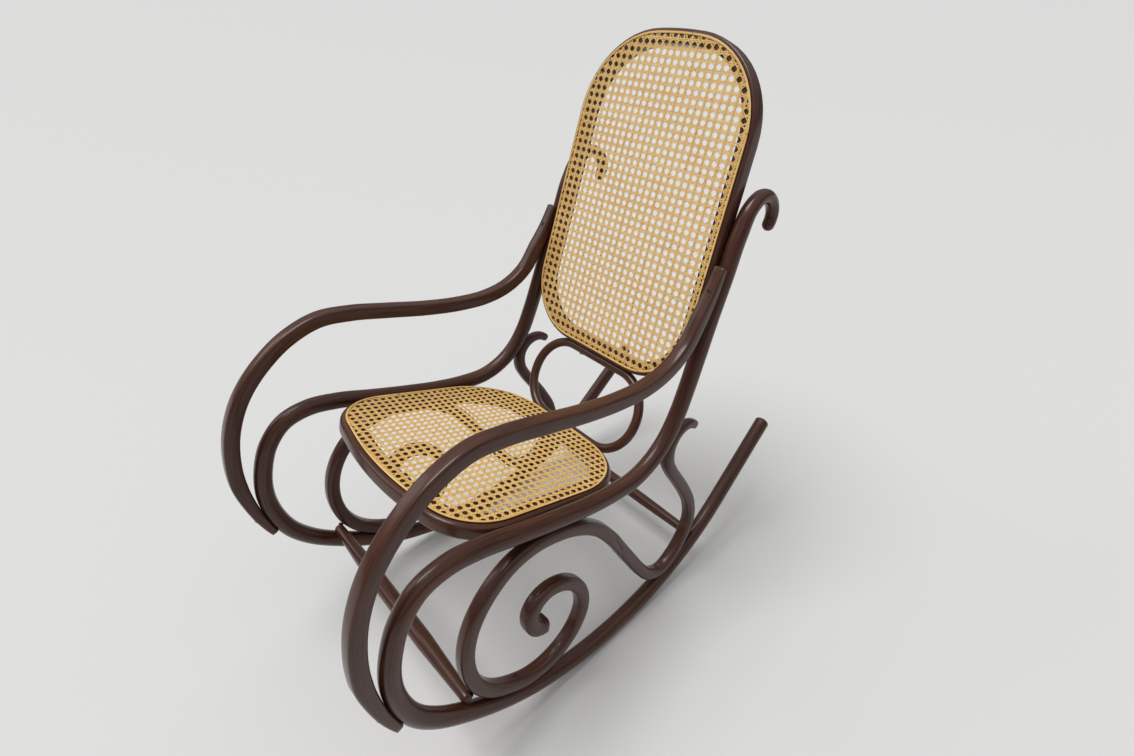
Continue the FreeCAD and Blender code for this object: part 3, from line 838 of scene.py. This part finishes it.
class Weave(Enum):
    """The four directions that cane strands run in."""

    LENGTHWISE = 0
    CROSSWISE = 1
    RISING = 2
    FALLING = 3


@dataclass
class CanedPanel:
    """A bent frame with its woven cane and the binder over the border holes."""

    name: str
    outline: Outline
    beech: bpy.types.Material
    cane: bpy.types.Material
    rim: float
    deep: float
    rounding: float
    cane_edge: float
    pitch_x: float
    pitch_y: float
    strand_wide: float = 2.3
    pair_gap: float = 0.7
    diagonal_share: float = 0.78
    strand_thick: float = 0.8
    binder_wide: float = 5.0
    hole_pitch: float = 11.5
    turn_in: float = 0.6
    strand_reach: int = 40
    level: float = 1.3
    swing: float = 0.75
    lengthwise_lift: float = 0.45
    crosswise_lift: float = -0.3
    slack_lift: float = 0.1
    binder_level: float = 2.4
    binder_half_thick: float = 0.75
    binder_corner: float = 0.72
    binder_shy: float = 0.4

    def place(self) -> Matrix:
        """Return the move to the panel's sloping face."""
        return face_place(self.outline.origin, self.outline.degrees)

    def build_frame(self) -> bpy.types.Object:
        """Sweep the bent wooden frame round the outline."""
        sunk = Vector((0, 0, -self.deep / 2))
        line = [point + sunk for point in self.outline.line(self.rim / 2, 7.0)]
        section = Section(self.rim / 2, self.deep / 2, self.rounding, 2.5, corners=28)
        bm = sweep(stations_along(line, closed=True), section, Vector((0, 0, -1)), closed=True)
        move(bm, self.place())
        return finish_piece(bm, f"{self.name}_frame_wood", self.beech,
                            (f"{self.name}_frame",))

    def strand_lines(self, weave: Weave) -> list[tuple[Vector, Vector, float]]:
        """Return the centre lines of the strands that run one way.

        Args:
            weave: The direction.

        Returns:
            For each strand, a point, the run to the next crossing and its side of the pair.
        """
        middle = (self.outline.low + self.outline.high) / 2
        beside = (self.strand_wide + self.pair_gap) / 2
        found = []
        for i in range(-self.strand_reach, self.strand_reach + 1):
            x, y = i * self.pitch_x, i * self.pitch_y
            if weave is Weave.LENGTHWISE:
                run = Vector((0, self.pitch_y / 2, 0))
                for pair in (-1, 1):
                    found.append((Vector((x + pair * beside, middle, 0)), run, pair))
            elif weave is Weave.CROSSWISE:
                run = Vector((self.pitch_x / 2, 0, 0))
                for pair in (-1, 1):
                    found.append((Vector((0, middle + y + pair * beside, 0)), run, pair))
            else:
                lean = 1 if weave is Weave.RISING else -1
                run = Vector((self.pitch_x / 4, lean * self.pitch_y / 4, 0))
                found.append((Vector((0, middle + y + self.pitch_y / 2, 0)), run, lean))
        return found

    def height(self, weave: Weave, crossing: int, pair: float) -> float:
        """Return how high a strand passes a crossing, in millimetres over the frame's face."""
        if weave is Weave.LENGTHWISE:
            return self.level + (self.slack_lift if crossing % 2 else self.lengthwise_lift) * pair
        if weave is Weave.CROSSWISE:
            return self.level + (self.slack_lift if crossing % 2 else self.crosswise_lift) * pair
        wave = (0, 1, 0, -1)[crossing % 4]
        return self.level + self.swing * wave * pair

    def weave_strands(self, weave: Weave, part: str) -> bpy.types.Object:
        """Lay every strand of one direction from border hole to border hole."""
        inset = self.cane_edge + self.binder_wide / 2
        border = self.outline.line(inset, 4.0)
        holes = self.outline.line(inset, self.hole_pitch)
        whole = bmesh.new()
        whole.loops.layers.float_vector.new("strand")
        wide = self.strand_wide * (self.diagonal_share if weave is Weave.RISING else 1.0)
        section = Section(wide / 2, self.strand_thick / 2, self.strand_thick / 2 - 0.02, corners=8)
        directions = (Weave.RISING, Weave.FALLING) if weave is Weave.RISING else (weave,)
        for direction in directions:
            for start, run, pair in self.strand_lines(direction):
                span = clip(start, run, border)
                if span is None or (span[1] - span[0]) < 1.0:
                    continue
                self.lay_strand(whole, direction, start, run, pair, span, section, holes)
        LOG.info("strands laid: %s %s", self.name, part)
        for face in whole.faces:
            face.smooth = True
        move(whole, self.place())
        return finish_piece(whole, f"{self.name}_cane_{part}", self.cane,
                            (f"{self.name}_cane",))

    def lay_strand(self, whole: bmesh.types.BMesh, weave: Weave, start: Vector, run: Vector,
                   pair: float, span: tuple[float, float], section: Section,
                   holes: list[Vector]) -> None:
        """Sweep one strand and add it to the panel's mesh.

        Args:
            whole: The mesh that gathers the strands.
            weave: The strand's direction.
            start: A point on it.
            run: From one crossing to the next.
            pair: Which of its pair it is.
            span: Its ends, counted in crossings.
            section: Its ribbon shape.
            holes: The border holes, in one of which each end goes down.
        """
        inner = range(math.ceil(span[0] + self.turn_in), math.floor(span[1] - self.turn_in) + 1)
        line = []
        for count in (span[0], *inner, span[1]):
            point = start + run * count
            if count in span:
                point = min(holes, key=lambda hole: (hole - point).length_squared).copy()
            point.z = self.height(weave, round(count), pair)
            line.append(point)
        stations = stations_along(line)
        for station in stations:
            station.direction = Vector((station.direction.x, station.direction.y, 0)).normalized()
        bm = sweep(stations, section, Vector((0, 0, 1)))
        tone = random.random()
        grain = bm.loops.layers.float_vector["grain"]
        strand = bm.loops.layers.float_vector.new("strand")
        for face in bm.faces:
            for loop in face.loops:
                across_mm = loop[grain].x * 1000 / self.strand_wide
                loop[strand] = (tone, across_mm, loop[grain].z)
        bm.loops.layers.float_vector.remove(bm.loops.layers.float_vector["grain"])
        mesh = bpy.data.meshes.new("strand")
        bm.to_mesh(mesh)
        bm.free()
        whole.from_mesh(mesh)
        bpy.data.meshes.remove(mesh)

    def build_binder(self) -> bpy.types.Object:
        """Lay the binder cane over the border holes."""
        raised = Vector((0, 0, self.binder_level))
        inset = self.cane_edge + self.binder_wide / 2
        line = [point + raised for point in self.outline.line(inset, 5.0)]
        section = Section(self.binder_wide / 2 - self.binder_shy, self.binder_half_thick,
                          self.binder_corner, corners=12)
        bm = sweep(stations_along(line, closed=True), section, Vector((0, 0, 1)), closed=True)
        grain = bm.loops.layers.float_vector["grain"]
        strand = bm.loops.layers.float_vector.new("strand")
        for face in bm.faces:
            for loop in face.loops:
                loop[strand] = (0.4, loop[grain].x * 1000 / self.binder_wide, loop[grain].z)
        move(bm, self.place())
        return finish_piece(bm, f"{self.name}_binder_cane", self.cane,
                            (f"{self.name}_binder",))

    def build(self) -> None:
        """Build and dress the whole panel."""
        self.build_frame()
        self.weave_strands(Weave.LENGTHWISE, "lengthwise")
        self.weave_strands(Weave.CROSSWISE, "crosswise")
        self.weave_strands(Weave.RISING, "diagonal")
        self.build_binder()


def clip(start: Vector, run: Vector, border: list[Vector]) -> tuple[float, float] | None:
    """Find where a line enters and leaves a closed border.

    Args:
        start: A point on the line.
        run: The line's unit of counting.
        border: The border's points.

    Returns:
        The lowest and highest count inside the border, or None where the line misses it.
    """
    side = Vector((-run.y, run.x, 0))
    counts = []
    for a, b in zip(border, border[1:] + border[:1]):
        da, db = (a - start).dot(side), (b - start).dot(side)
        if (da > 0) != (db > 0):
            counts.append((a.lerp(b, da / (da - db)) - start).dot(run) / run.length_squared)
    if len(counts) < 2:
        return None
    return min(counts), max(counts)


@dataclass
class LowerRing:
    """The oval ring that stands behind the seat frame and carries the foot of the back."""

    beech: bpy.types.Material
    low: tuple[float, float] = (102.6, 326.2)
    high: tuple[float, float] = (194.8, 465.8)
    wide: float = 316.0
    corner: float = 82.0
    radius: float = 10.0

    def build(self) -> bpy.types.Object:
        """Sweep the ring's round rod."""
        rise = Vector(self.high) - Vector(self.low)
        half = self.wide / 2
        places = [Vector((x, along, 0)) for x, along in
                  ((-half, 0), (half, 0), (half, rise.length), (-half, rise.length))]
        dense = []
        for i, here in enumerate(places):
            to_last = (places[i - 1] - here).normalized()
            to_next = (places[(i + 1) % 4] - here).normalized()
            centre = here + (to_last + to_next) * self.corner
            for part in range(17):
                turned = Matrix.Rotation(math.pi / 2 * part / 16, 3, "Z") @ (to_next * -self.corner)
                dense.append(centre + turned)
        section = Section(self.radius, self.radius, self.radius)
        stations = stations_along(spaced(dense, 6.0), closed=True)
        bm = sweep(stations, section, Vector((0, 0, 1)), closed=True)
        move(bm, face_place(self.low, math.degrees(math.atan2(rise.y, rise.x))))
        return finish_piece(bm, "back_lower_ring_wood", self.beech,
                            ("back_lower_ring",))


@dataclass
class Studio:
    """A plain pale floor, soft light from above and the photograph's camera."""

    floor_colour: str = "#C9C9C8"
    floor_half: float = 60.0
    horizon_colour: str = "#55555A"
    ceiling_colour: str = "#FFFFFF"
    backdrop_colour: str = "#FAFAF9"
    sky_strength: float = 0.78
    lamps: tuple = (("ceiling", (-0.35, -0.6, 2.4), 32.0, 2.0),
                    ("window", (-2.6, -1.6, 1.9), 26.0, 0.25))
    camera_at: tuple[float, float, float] = (0.8515, -0.5618, 1.1981)
    azimuth: float = 46.85
    elevation: float = 30.63
    roll: float = -0.927
    focal_share: float = 626.56 / 1134
    centre: tuple[float, float] = (611.16, 334.25)
    image: tuple[float, float] = (1134, 756)

    def floor(self) -> None:
        """Lay the floor."""
        bm = bmesh.new()
        bmesh.ops.create_grid(bm, x_segments=1, y_segments=1, size=self.floor_half)
        mesh = bpy.data.meshes.new("floor")
        bm.to_mesh(mesh)
        bm.free()
        floor = bpy.data.objects.new("floor", mesh)
        bpy.context.scene.collection.objects.link(floor)
        material, _, shader = new_material("pale_floor")
        shader.inputs["Base Color"].default_value = srgb(self.floor_colour)
        shader.inputs["Roughness"].default_value = 0.7
        mesh.materials.append(material)

    def lights(self) -> None:
        """Light the chair softly from above and from one side, and fill the rest from the world.

        Each lamp has a name, the direction that it shines from, its apparent width in degrees and
        its strength.
        """
        for name, source, width, strength in self.lamps:
            lamp = bpy.data.lights.new(name, "SUN")
            lamp.angle = math.radians(width)
            lamp.energy = strength
            light = bpy.data.objects.new(name, lamp)
            bpy.context.scene.collection.objects.link(light)
            light.rotation_euler = (-Vector(source)).to_track_quat("-Z", "Y").to_euler()
        world = bpy.data.worlds.new("pale_room")
        world.use_nodes = True
        tree = world.node_tree
        place = add(tree, "ShaderNodeTexCoord")
        parts = add(tree, "ShaderNodeSeparateXYZ", links={"Vector": place.outputs["Generated"]})
        colours = (srgb(self.horizon_colour), srgb(self.ceiling_colour))
        dome = ramp(tree, parts.outputs["Z"], 0.05, 0.85, colours)
        seen = add(tree, "ShaderNodeLightPath")
        sky = add(tree, "ShaderNodeMix", {"data_type": "RGBA", (7,): srgb(self.backdrop_colour)},
                  {0: seen.outputs["Is Camera Ray"], 6: dome.outputs["Color"]})
        tree.links.new(sky.outputs[2], tree.nodes["Background"].inputs["Color"])
        tree.nodes["Background"].inputs["Strength"].default_value = self.sky_strength
        bpy.context.scene.world = world

    def camera(self) -> None:
        """Set the camera where the photograph was taken from."""
        data = bpy.data.cameras.new("photo_camera")
        data.sensor_fit = "HORIZONTAL"
        data.sensor_width = 36.0
        data.lens = self.focal_share * data.sensor_width
        data.shift_x = (self.image[0] / 2 - self.centre[0]) / self.image[0]
        data.shift_y = (self.centre[1] - self.image[1] / 2) / self.image[0]
        data.clip_start = 0.01
        camera = bpy.data.objects.new("photo_camera", data)
        bpy.context.scene.collection.objects.link(camera)
        turned = Matrix.Rotation(math.radians(self.azimuth), 4, "Z")
        raised = Matrix.Rotation(math.radians(90 - self.elevation), 4, "X")
        rolled = Matrix.Rotation(math.radians(self.roll), 4, "Z")
        placed = balance() @ Matrix.Translation(self.camera_at)
        camera.matrix_world = placed @ turned @ raised @ rolled
        bpy.context.scene.camera = camera

    def build(self) -> None:
        """Build the whole studio."""
        self.floor()
        self.lights()
        self.camera()


@dataclass
class RockingChair:
    """The whole chair."""

    beech: bpy.types.Material = field(default_factory=lambda: StainedBeech().build())
    cane: bpy.types.Material = field(default_factory=lambda: RattanCane().build())
    steel: bpy.types.Material = field(default_factory=lambda: DulledSteel().build())

    def dress_screws(self, nodes: dict) -> None:
        """Give every screw node its dulled steel."""
        for name, node in nodes.items():
            if name.endswith("_screws"):
                node.data.materials.clear()
                node.data.materials.append(self.steel)
                LOG.info("%s: dressed", name)

    def build(self, nodes: dict) -> None:
        """Build and dress every piece."""
        for side in Side:
            SideRods(side, self.beech).build()
        Stretcher("front_stretcher", (-357, 135), 15.5, self.beech).build()
        Stretcher("rear_stretcher", (252, 60), 13.0, self.beech).build()
        seat = Outline(
            (-150.0, 429.0), degrees=-19.2, low=-173.5, high=261.0, low_bow=22.5, high_bow=3.0,
            low_radius=108.0, high_radius=148.0, bow_radius=630.0, rear_bow_radius=1200.0)
        back = Outline(
            (292.3, 750.0), degrees=90 - 21.8, low=-290.0, high=367.0, low_bow=0.0, high_bow=7.0,
            low_radius=132.0, high_radius=178.0, bow_radius=0.0, rear_bow_radius=700.0)
        CanedPanel("seat", seat, self.beech, self.cane, rim=38.0, deep=28.0, rounding=8.0,
                   cane_edge=9.0, pitch_x=14.7, pitch_y=14.6).build()
        CanedPanel("back", back, self.beech, self.cane, rim=28.0, deep=30.0, rounding=5.0,
                   cane_edge=7.0, pitch_x=17.1, pitch_y=16.3).build()
        LowerRing(self.beech).build()
        self.dress_screws(nodes)


def main() -> None:
    """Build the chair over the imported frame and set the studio."""
    logging.basicConfig(level=logging.INFO, format="%(message)s")
    random.seed(7)
    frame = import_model()
    RockingChair().build(frame["nodes"])
    Studio().build()
    bpy.context.scene.view_settings.view_transform = "Standard"
    bpy.context.view_layer.update()


if __name__ == "__main__":
    main()
